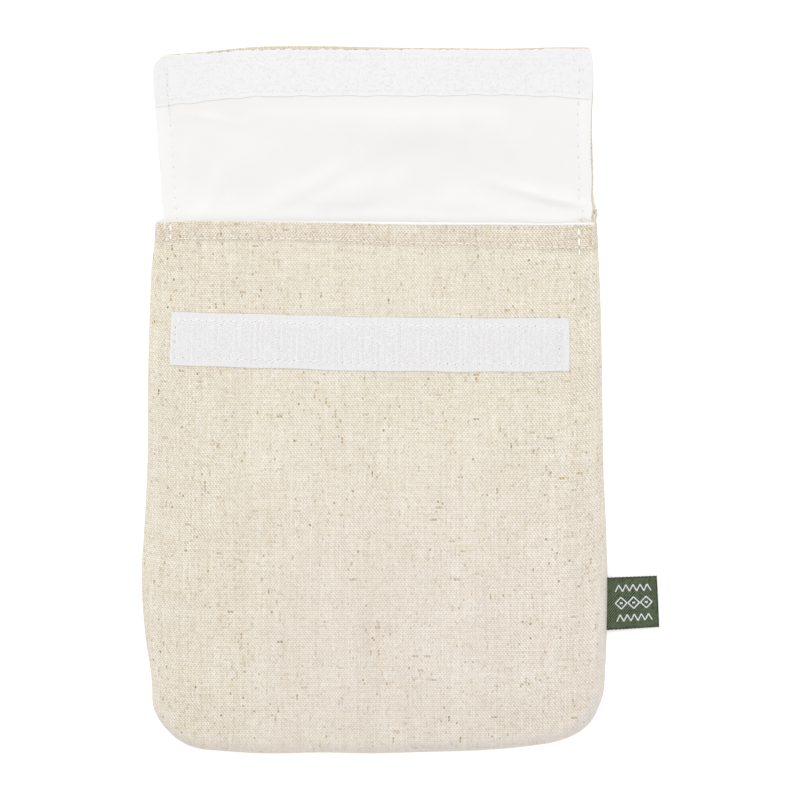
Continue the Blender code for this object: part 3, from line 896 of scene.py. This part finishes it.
def frontFilmRight(height):  # it comes nearer to the side at the mouth
    return film["seamInset"] - film["mouthOut"] * smooth(height, 244, 252)


# the front film is painted whiter towards the mouth: painted light on the thin edge that shows there
frontLining = clothSheet(
    "front_film", stations(207, fineEdge, 90), stations(249.5, fineEdge, 70), (207, 249.5),
    lambda u, v: clothPlan(u, v, frontFilmEnd, frontFilmLeft, frontFilmRight, film["seamInset"], nothing),
    plyUnder(frontFilmTop, film["thick"]), whiteFilm, {"mouthPaintedLight": lambda x, y: smooth(y, 240, 252)})
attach(frontLining, "root")
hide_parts("front_lining")
print("linings made")

hookTape = {
    "left": -97.4, "right": 92.6, "skew": 0.9, "across": (-97, -67, -31, -16, 12, 41, 70, 93),
    "low": (185.5, 184.4, 183.5, 182.8, 182.55, 182.2, 182.35, 182.5),
    "high": (210.8, 210.0, 209.0, 208.5, 208.1, 207.7, 207.7, 208.0),
    "thick": 0.45, "lift": 0.04, "border": 2.75, "sewnIn": 3.75, "sewnHalf": 0.42,
    "hookAcross": 1.25, "hookAlong": 1.02, "hookTall": 0.64, "hookReach": 0.48, "hookRadius": 0.135,
    "stitchPitch": 3.82, "selvedge": 2.4, "selvedgeFade": 0.4, "edgeWave": 0.12,
    "uneven": (0.07, 0.09, 0.2, 0.08), "missing": 0.03, "facingBack": 0.2,
}


def hookPlan(u, v):
    left = hookTape["left"] + hookTape["skew"] * (v - 0.5)
    x = blend(left, hookTape["right"], u)
    low = readCurve(hookTape["across"], hookTape["low"], x)
    high = readCurve(hookTape["across"], hookTape["high"], x)
    wave = hookTape["edgeWave"] * np.sin(u * 37) * (2 * v - 1)
    return x, blend(low, high, v) + wave


def hookTop(x, y):
    return frontTop(x, y) + hookTape["lift"] + hookTape["thick"]


def hookField(x, y):  # 1 where hooks grow, 0 on the two plain selvedges
    low = readCurve(hookTape["across"], hookTape["low"], x)
    high = readCurve(hookTape["across"], hookTape["high"], x)
    selvedge, fade = hookTape["selvedge"], hookTape["selvedgeFade"]
    return smooth(np.minimum(y - low, high - y), selvedge - fade, selvedge + fade)


hookBase = clothSheet(
    "hook_tape_web", stations(190.2, fineEdge[:6], 130), stations(25, fineEdge[:6], 40), (190.2, 25),
    hookPlan, plyUnder(hookTop, hookTape["thick"]), hookWeb, {"field": hookField})
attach(hookBase, "root")
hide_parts("hook_tape")

loopTape = {
    "lowX": (-105, -84, -61, -35, 30, 60, 95, 104),
    "lowY": (308.8, 311.2, 313.5, 314.0, 314.3, 314.6, 313.1, 312.4),
    "thick": 0.3, "lift": 0.02, "pile": 5400, "loopTall": 0.045, "loopWide": 1.1, "loopRadius": 0.03,
    "loopSway": 0.16, "loopSizes": (0.6, 1.35), "loopLean": (-1.3, 1.3), "unevenRise": 0.022,
}


def loopPlan(u, v):
    topX, topY = clothPlan(u, 1 + 0 * u, flapEnd, filmLeftInset, filmRightInset, 0, filmEndInset)
    low = readCurve(loopTape["lowX"], loopTape["lowY"], topX)
    low = low + 0.22 * np.sin(topX * 0.31) + 0.16 * np.sin(topX * 0.53 + 1)
    y = blend(low, topY - 0.1, v)
    left = -sideAt("Left", y) + readCurve(film["lipY"], film["leftLip"], y) + 0.1
    right = sideAt("Right", y) - readCurve(film["lipY"], film["rightLip"], y) - 0.1
    return blend(left, right, u), y


def loopTop(x, y):
    uneven = loopTape["unevenRise"] * ripple(x, y, 7, 12)
    return filmTop(x, y) + loopTape["lift"] + loopTape["thick"] + uneven


loopBase = clothSheet(
    "loop_tape_web", stations(208, fineEdge[:6], 190), stations(25, fineEdge[:6], 30), (208, 25),
    loopPlan, plyUnder(loopTop, loopTape["thick"]), loopWeb, {"field": lambda x, y: nothing(x) + 1})
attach(loopBase, "root")
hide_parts("loop_tape")
print("tapes made")


def curveMesh(points, radius, sides=0):  # a thin tube along a few points
    curve = bpy.data.curves.new("path", "CURVE")
    curve.dimensions = "3D"
    curve.bevel_depth = radius
    curve.bevel_resolution = sides
    curve.use_fill_caps = True
    spline = curve.splines.new("POLY")
    spline.points.add(len(points) - 1)
    for point, place in zip(spline.points, points):
        point.co = (*place, 1)
    holder = bpy.data.objects.new("path", curve)
    mesh = bpy.data.meshes.new_from_object(holder)
    bpy.data.objects.remove(holder)
    return mesh


def joinCopies(name, unit, places, material):  # one mesh of many placed copies
    count = len(unit.vertices)
    co = np.empty(count * 3)
    unit.vertices.foreach_get("co", co)
    base = np.concatenate([co.reshape(-1, 3), np.ones((count, 1))], axis=1)
    points = np.einsum("nij,kj->nki", places, base)[..., :3].reshape(-1, 3)
    corner = np.empty(len(unit.loops), dtype=np.int32)
    unit.loops.foreach_get("vertex_index", corner)
    start = np.empty(len(unit.polygons), dtype=np.int32)
    unit.polygons.foreach_get("loop_start", start)
    copies = np.arange(len(places), dtype=np.int32)[:, None]
    mesh = bpy.data.meshes.new(name)
    mesh.vertices.add(len(points))
    mesh.vertices.foreach_set("co", points.ravel())
    mesh.loops.add(len(corner) * len(places))
    mesh.loops.foreach_set("vertex_index", (corner[None, :] + copies * count).ravel())
    mesh.polygons.add(len(start) * len(places))
    mesh.polygons.foreach_set("loop_start", (start[None, :] + copies * len(corner)).ravel())
    mesh.update(calc_edges=True)
    mesh.validate()
    mesh.shade_smooth()
    return addToScene(name, mesh, material)


def placeAt(x, y, z, turn=0.0, size=(1, 1, 1), tip=0.0):  # bag millimetres to a world matrix
    spot = Vector(toWorld(x, y, z))
    turned = Matrix.Rotation(turn, 4, "Z") @ Matrix.Rotation(tip, 4, "Y")
    return np.array(Matrix.Translation(spot) @ turned @ Matrix.Diagonal((*size, 1)))


# Hooks: bent ends of stiff thread in rows across the tape
def makeHooks():
    tall, reach = hookTape["hookTall"] * mm, hookTape["hookReach"] * mm
    bend = [(0, 0, 0), (0, 0, tall * 0.6)]
    for step in range(1, 5):
        angle = math.pi * step / 4.6
        bend.append((reach / 2 * (1 - math.cos(angle)), 0, tall * (0.6 + 0.4 * math.sin(angle))))
    unit = curveMesh(bend, hookTape["hookRadius"] * mm)
    chance = np.random.default_rng(11)
    places = []
    length = hookTape["right"] - hookTape["left"]
    across = np.arange(0.9, length - 0.8, hookTape["hookAcross"])
    along = np.arange(hookTape["border"], 25.1 - hookTape["border"], hookTape["hookAlong"])
    for i, sx in enumerate(across):
        for sy in along + 0.5 * hookTape["hookAlong"] * (i % 2):
            shiftX, shiftY, turn, tip = chance.normal(0, hookTape["uneven"])
            sewn = abs(min(sy, 25 - sy) - hookTape["sewnIn"]) < hookTape["sewnHalf"]
            if sewn or chance.uniform() < hookTape["missing"]:  # the seams press their hooks flat
                continue
            u = (sx + shiftX) / length
            v = (sy + shiftY) / 25
            x, y = hookPlan(u, v)
            facing = math.pi * ((i + (chance.uniform() < hookTape["facingBack"])) % 2)
            places.append(placeAt(x, y, hookTop(x, y) - 0.05, facing + turn, (1, 1, 1), tip))
    return joinCopies("hook_tape_hooks", unit, np.array(places), hookPlastic)


# Loops: a soft crushed pile of fine threads
def makePile():
    tall, wide = loopTape["loopTall"] * mm, loopTape["loopWide"] * mm
    arch = []
    for step in range(5):
        angle = math.pi * step / 4
        sway = loopTape["loopSway"] * mm * math.sin(2 * angle)
        arch.append((-wide / 2 * math.cos(angle), sway, tall * math.sin(angle)))
    unit = curveMesh(arch, loopTape["loopRadius"] * mm)
    chance = np.random.default_rng(23)
    u, v = chance.uniform(0.004, 0.996, loopTape["pile"]), chance.uniform(0.05, 0.97, loopTape["pile"])
    x, y = loopPlan(u, v)
    z = loopTop(x, y) - 0.03
    places = []
    for k in range(loopTape["pile"]):
        turn, tip = chance.uniform(0, math.tau), chance.normal(0, 0.06)
        size = chance.uniform(*loopTape["loopSizes"])
        flat = Matrix.Rotation(chance.uniform(*loopTape["loopLean"]), 4, "X")
        place = Matrix(placeAt(x[k], y[k], z[k], turn, (size, size, size), tip)) @ flat
        places.append(np.array(place))
    return joinCopies("loop_tape_pile", unit, np.array(places), pileThread)


hookPlastic = makeThread("hookPlastic", srgb(246, 244, 245), srgb(238, 236, 237), 0.35)
pileThread = makeThread("pileThread", srgb(225, 225, 225), srgb(221, 221, 221), 0.85)
hooks = makeHooks()
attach(hooks, "root")
pile = makePile()
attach(pile, "root")
print("hooks and pile made")


# Sewing: each stitch is one short length of thread between two needle holes
def stitchUnit():
    bm = bmesh.new()
    bmesh.ops.create_uvsphere(bm, u_segments=8, v_segments=7, radius=1)
    bmesh.ops.rotate(bm, verts=bm.verts, matrix=Matrix.Rotation(math.pi / 2, 3, "Y"))
    for vertex in bm.verts:
        x = vertex.co.x
        vertex.co.x = math.copysign(abs(x) ** 0.75, x) * 0.5
        vertex.co.z += 0.35 - 1.1 * (2 * abs(vertex.co.x)) ** 3
    return meshOf("stitch", bm)


def walk(points, pitch, chance):  # even steps along a path, a little uneven as sewn
    points = np.array(points, float)
    lengths = np.concatenate([[0], np.cumsum(np.hypot(*np.diff(points, axis=0).T))])
    count = max(int(round(lengths[-1] / pitch)), 1)
    at = np.linspace(0, lengths[-1], count + 1)
    at[1:-1] += chance.normal(0, pitch * 0.035, count - 1)
    x, y = np.interp(at, lengths, points[:, 0]), np.interp(at, lengths, points[:, 1])
    return x + chance.normal(0, 0.05, count + 1), y + chance.normal(0, 0.05, count + 1)


def sewRow(points, surface, pitch, fill, radius, seed, slant=0.05, hole=(0.4, 0.24), flip=1):
    chance = np.random.default_rng(seed)  # slant is each stitch's turn, hole the half size of the painted shade in its needle hole
    x, y = walk(points, pitch, chance)
    z = surface(x, y)
    stitches, holes = [], []
    for k in range(len(x) - 1):
        start = Vector((x[k], y[k], z[k]))
        end = Vector((x[k + 1], y[k + 1], z[k + 1]))
        run = end - start
        middle = start.lerp(end, 0.5)
        turn = math.atan2(run.y, run.x) + slant + chance.normal(0, 0.06)
        tip = -math.atan2(run.z, math.hypot(run.x, run.y))
        long = run.length * (fill + chance.normal(0, 0.06))
        thick = radius * chance.uniform(0.88, 1.12)
        size = (long * mm, thick * mm, thick * mm * flip)
        stitches.append(placeAt(middle.x, middle.y, middle.z, turn, size, tip))
        # a dark disc of painted shade marks the needle hole
        mark = chance.uniform(0.5, 1.1) * mm
        size = (hole[0] * mark, hole[1] * mark, 0.1 * mm)
        holes.append(placeAt(start.x, start.y, start.z, turn + 0.2, size))
    return stitches, holes


def sideRow(hand, inset, low, high):  # a row down one side of the flap
    ys = np.linspace(low, high, 24)
    sign = -1 if hand == "Left" else 1
    return [(sign * (sideAt(hand, y) - inset), y) for y in ys]


def flapSurface(x, y):
    loopLow = readCurve(loopTape["lowX"], loopTape["lowY"], x)
    return np.where(y > loopLow, loopTop(x, y) + 0.05, filmTop(x, y))


def tapePath(plan, us, vs, count):  # a line over a tape, between shares of its width and height
    return list(zip(*plan(np.linspace(*us, count), np.linspace(*vs, count))))


mouthXs = np.linspace(mouthStitch["x"][0], mouthStitch["x"][-1], 60)
mouthPath = list(zip(mouthXs, readCurve(mouthStitch["x"], mouthStitch["y"], mouthXs)))
hookLines = [tapePath(hookPlan, (0.012, 0.975), (v, v), 30) for v in (0.85, 0.15)]
hookEnds = [tapePath(hookPlan, (u, u), (0.15, 0.85), 8) for u in (0.012, 0.975)]
hemEnds = ([(-97.4, 253.2), (-97.3, 244.2)], [(97.1, 251.5), (97.5, 237.0)])
sideRows = (sideRow("Left", 6.6, 256, 329), sideRow("Right", 6.9, 254.5, 331))
loopRows = [tapePath(loopPlan, (0.034, 0.966), (v, v), 40) for v in (0.12, 0.8)]
# For each kind of row: pitch, how much of it the thread fills, thread radius, slant, painted shade of the
# needle hole
sewing = {
    "mouth": (mouthStitch["pitch"], mouthStitch["fill"], mouthStitch["radius"], 0.06, (0.4, 0.26)),
    "hookLine": (hookTape["stitchPitch"], 0.98, 0.28, 0.28, (0.36, 0.2)),
    "hookEnd": (hookTape["stitchPitch"], 0.8, 0.26, 0.1, (0.5, 0.26)),
    "hemEnd": (5.0, 0.7, 0.45, 0.06, (0.5, 0.3)), "side": (5.0, 0.8, 0.14, 0.04, (0.8, 0.15)),
    "loop": (3.8, 0.84, 0.15, 0.05, (0.24, 0.09)), "outside": (3.9, 0.8, 0.24),
    "pucker": (96.2, 251.6), "puckerSize": (1.5 * mm, 0.2 * mm, 0.1 * mm), "puckerTurn": -0.95,
}


def makeSewing():
    unit = stitchUnit()
    white, cream, pale = [], [], []
    pucker = sewing["pucker"]  # painted shade of a short pulled groove in the hem beside the right side's stitches
    shade = [placeAt(*pucker, frontTop(*pucker), sewing["puckerTurn"], sewing["puckerSize"])]
    kinds = ((cream, [mouthPath], frontTop, "mouth"), (pale, hookLines, hookTop, "hookLine"),
             (pale, hookEnds, hookTop, "hookEnd"), (white, hemEnds, frontTop, "hemEnd"),
             (pale, sideRows, flapSurface, "side"), (pale, loopRows, loopTop, "loop"))
    rows = [(threads, row, surface, kind) for threads, paths, surface, kind in kinds for row in paths]
    for seed, (threads, row, surface, kind) in enumerate(rows):
        pitch, fill, radius, slant, hole = sewing[kind]
        stitches, holes = sewRow(row, surface, pitch, fill, radius, seed + 1, slant, hole)
        threads += stitches
        shade += holes
    for seed, row in enumerate((*sideRows, *loopRows)):  # the same rows on the outside
        cream += sewRow(row, backUnder, *sewing["outside"], 70 + seed, flip=-1)[0]
    pieces = (("white_stitches", white, whiteThread, "linen"),
              ("tape_stitches", pale, tapeThread, "loop_tape"),
              ("cream_stitches", cream, creamThread, "linen"))
    for name, places, material, slot in pieces:
        piece = joinCopies(name, unit, np.array(places), material)
        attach(piece, "root")
    # dark discs of painted shade in the needle holes
    piece = joinCopies("hole_shade_discs", beadMesh("hole_shade_disc", 8, 5), np.array(shade), needleShade)
    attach(piece, "root")


makeSewing()
print("sewing made")

label = {
    "middle": 71.4, "tall": 25.1, "reach": 24.1, "tuck": 3.0, "turn": math.radians(2.7), "taper": 0.022,
    "thick": 0.36, "apart": 0.24, "droop": 0.9, "root": 2.0,
    "light": srgb(99, 112, 86), "dark": srgb(28, 39, 22), "white": srgb(238, 240, 241),
    "line": 0.38, "zigzag": 3.4, "zigzagTall": 1.6, "bandUp": 7.2, "diamond": 2.8, "diamondStep": 6.0,
    "dash": 0.7, "dashWide": 0.6, "threadStep": 0.42, "threadLong": 0.24, "threadTall": 0.07,
    "notch": 0.13,
}


def makeLabelMaterial():
    material, tree, shader = startMaterial("labelRibbon", 0.75, 0.25, 0.05)
    weave = useWeave(tree, Warp_Pitch=0.64 * mm, Weft_Pitch=0.68 * mm, Slub=0.5, Wander=0.25,
                     Lean=0.1, Seed=14.0)
    x, y = splitXyz(tree, clothCoordinates(tree))[:2]
    foldAt = (label["tuck"] + label["reach"]) * mm
    # the two long edges are darker, and the fold at the outer end gets painted shade
    edge = mapRange(tree, y.act("ABSOLUTE"), 11.5 * mm, 12.3 * mm)
    fold = mapRange(tree, (x - foldAt).act("ABSOLUTE"), 0.4 * mm, 1.2 * mm, 1.0, 0.0)
    level = 0.56 + weave["Slope"] * 0.66 + weave["Tone"] * 0.4 - edge.act("MAXIMUM", fold) * 0.55
    base = mixColour(tree, level, label["dark"], label["light"])
    tree.links.new(base, shader.inputs["Base Color"])
    addBump(tree, shader, weave["Height"], 0.09 * mm)
    return material


def labelSpot(out, up):  # a point of the label: out from its root, up from its middle
    root = sideAt("Right", label["middle"]) - label["tuck"]
    up = up * (1 - label["taper"] * out / label["reach"])
    x = root + out * math.cos(label["turn"]) - up * math.sin(label["turn"])
    y = label["middle"] + out * math.sin(label["turn"]) + up * math.cos(label["turn"])
    return x, y


def labelLevel(out, up):  # middle of its two plies
    free = smooth(out, label["tuck"], label["tuck"] + label["reach"])
    return label["root"] - label["droop"] * free + 0.22 * np.sin(up * 0.24 + 0.6) * free


# One ribbon folded at its outer end: the path goes out on the lower ply and back on the upper
def makeLabel():
    length = label["tuck"] + label["reach"]
    half = (label["thick"] + label["apart"]) / 2
    runs = list(np.linspace(0, length - half, 30))
    path = [(out, -half) for out in runs]
    for step in range(1, 8):
        angle = -math.pi / 2 + math.pi * step / 8
        path.append((length - half + half * math.cos(angle), half * math.sin(angle)))
    path += [(out, half) for out in reversed(runs)]
    ups = np.linspace(-0.5, 0.5, 61) * label["tall"]
    bm = bmesh.new()
    bmesh.ops.create_grid(bm, x_segments=len(path) - 1, y_segments=len(ups) - 1, size=0.5)
    layer = bm.loops.layers.uv.new("cloth")
    travelled = np.concatenate([[0], np.cumsum(np.hypot(*np.diff(np.array(path), axis=0).T))])
    for face in bm.faces:
        for loop in face.loops:
            column = round((loop.vert.co.x + 0.5) * (len(path) - 1))
            row = round((loop.vert.co.y + 0.5) * (len(ups) - 1))
            loop[layer].uv = (travelled[column] * mm, ups[row] * mm)
    for vertex in bm.verts:
        column = round((vertex.co.x + 0.5) * (len(path) - 1))
        row = round((vertex.co.y + 0.5) * (len(ups) - 1))
        out, rise = path[column]
        up = ups[row]
        if row in (0, len(ups) - 1):  # the woven edges are finely notched
            up += label["notch"] * (-1) ** column
        x, y = labelSpot(out, up)
        vertex.co = Vector(toWorld(x, y, labelLevel(out, up) + rise))
    mesh = meshOf("side_label_ribbon", bm)
    mesh.shade_smooth()
    piece = addToScene("side_label_ribbon", mesh, makeLabelMaterial())
    shell = piece.modifiers.new("ply", "SOLIDIFY")
    shell.thickness = label["thick"] * mm
    shell.offset = 0
    return piece


# A plain woven pattern in white thread: a row of diamonds between two zigzags
def makeLabelMotif():
    unit = beadMesh("motif_thread", 6, 5)
    places = []
    chance = np.random.default_rng(31)

    def line(fromOut, fromUp, toOut, toUp, wide):
        length = math.hypot(toOut - fromOut, toUp - fromUp)
        count = max(int(length / label["threadStep"]), 2)
        for k in range(count):
            share = (k + 0.5) / count
            out = label["tuck"] + blend(fromOut, toOut, share)
            up = blend(fromUp, toUp, share)
            x, y = labelSpot(out, up)
            z = labelLevel(out, up) + label["apart"] / 2 + label["thick"] + 0.02
            broad = wide * chance.uniform(0.85, 1.15) * mm
            size = (label["threadLong"] * mm, broad, label["threadTall"] * mm)
            angle = math.atan2(toUp - fromUp, toOut - fromOut) + label["turn"]
            places.append(placeAt(x, y, z, angle, size))

    middle, wide = label["reach"] / 2 + 0.5, label["line"]
    for i in (-1, 0, 1):
        cx, r = middle + i * label["diamondStep"], label["diamond"]
        corners = ((cx - r, 0), (cx, r), (cx + r, 0), (cx, -r))
        for k in range(4):
            line(*corners[k], *corners[(k + 1) % 4], wide)
        line(cx - label["dash"], 0, cx + label["dash"], 0, label["dashWide"])
    half, tall = label["zigzag"] / 2, label["zigzagTall"]
    for up in (-label["bandUp"], label["bandUp"]):
        for k in range(-5, 5):
            rise = tall if k % 2 else -tall
            line(middle + k * half, up - rise, middle + (k + 1) * half, up + rise, wide)
    return joinCopies("side_label_motif", unit, np.array(places), makeThread(
        "labelWhite", label["white"], srgb(208, 212, 211)))


ribbon = makeLabel()
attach(ribbon, "root")
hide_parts("side_label")
motif = makeLabelMotif()
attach(motif, "root")
print("label made")


# Loose ends of thread at the right end of the mouth, where the flap's raw corner frays
tanEnds = (
    (0.22, ((97.2, 254.6, 4.0), (98.6, 255.5, 4.6), (100.4, 255.4, 4.5), (103, 254.5, 3.8),
            (105.0, 253.9, 3.2))),
    (0.2, ((104.2, 262.0, 2.0), (104.9, 260.0, 2.4), (105.8, 258.4, 2.5), (105.2, 257.2, 2.2))),
    (0.18, ((105.2, 261.0, 1.9), (106.0, 259.4, 2.3), (105.4, 257.9, 2.4), (104.6, 256.4, 2.2))),
)
whiteEnds = (
    (0.18, ((104.6, 260.6, 2.2), (106.2, 259.8, 2.5), (107.0, 258.2, 2.0), (106.4, 256.6, 1.6))),
    (0.15, ((105.4, 258.8, 2.4), (106.6, 257.6, 2.3), (106.3, 255.8, 1.9))),
    (0.14, ((103.8, 258.2, 2.4), (104.8, 257.0, 2.7), (104.6, 255.4, 2.6))),
)


def makeWisps(name, paths, material):
    total = bmesh.new()
    for radius, path in paths:
        path = np.array(path, float)
        t = np.linspace(0, len(path) - 1, 6 * len(path))
        x, y, z = (readCurve(range(len(path)), path[:, k], t) for k in range(3))
        total.from_mesh(curveMesh(toWorld(x, y, z), radius * mm, 1))
    mesh = meshOf(name, total)
    mesh.shade_smooth()
    return addToScene(name, mesh, material)


for wisps in (makeWisps("tan_thread_ends", tanEnds, tanThread),
              makeWisps("white_thread_ends", whiteEnds, whiteThread)):
    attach(wisps, "root")
print("thread ends made")

stage = {
    "floorSize": 4.0, "floor": srgb(252, 252, 252), "floorGlow": 0.2, "world": 0.95,
    "keyPlace": (-0.4, 1.0, 1.5), "keySize": 1.6, "key": 11.5,
    "fillPlace": (0.9, -0.2, 1.4), "fillSize": 1.4, "fill": 1.8,
}


def makeStage():
    bm = bmesh.new()
    bmesh.ops.create_grid(bm, x_segments=1, y_segments=1, size=stage["floorSize"] / 2)
    mesh = meshOf("floor", bm)
    material, tree, shader = startMaterial("paleFloor", 0.9, 0.1)
    shader.inputs["Base Color"].default_value = stage["floor"]
    shader.inputs["Emission Color"].default_value = (1, 1, 1, 1)
    shader.inputs["Emission Strength"].default_value = stage["floorGlow"]
    floor = addToScene("floor", mesh, material)
    floor.location.z = -0.0002
    world = bpy.data.worlds.new("studio")
    bpy.context.scene.world = world
    world.use_nodes = True
    world.node_tree.nodes["Background"].inputs["Color"].default_value = (1, 1, 1, 1)
    world.node_tree.nodes["Background"].inputs["Strength"].default_value = stage["world"]
    for name in ("key", "fill"):
        lamp = bpy.data.lights.new(name + "Light", "AREA")
        lamp.size = stage[name + "Size"]
        lamp.energy = stage[name]
        holder = bpy.data.objects.new(name + "Light", lamp)
        bpy.context.scene.collection.objects.link(holder)
        holder.location = stage[name + "Place"]
        holder.rotation_euler = (-holder.location).to_track_quat("-Z", "Y").to_euler()


camera = {"lens": 180.0, "frameWidth": 0.3826, "shiftX": -0.0003, "shiftY": -0.0005}


def makeCamera():
    data = bpy.data.cameras.new("camera")
    data.lens = camera["lens"]
    data.clip_end = 20
    holder = bpy.data.objects.new("camera", data)
    bpy.context.scene.collection.objects.link(holder)
    distance = camera["frameWidth"] * camera["lens"] / data.sensor_width
    holder.location = (camera["shiftX"], camera["shiftY"], distance)
    bpy.context.scene.camera = holder


makeStage()
makeCamera()
bpy.context.scene.view_settings.view_transform = "Standard"
print("stage and camera made")
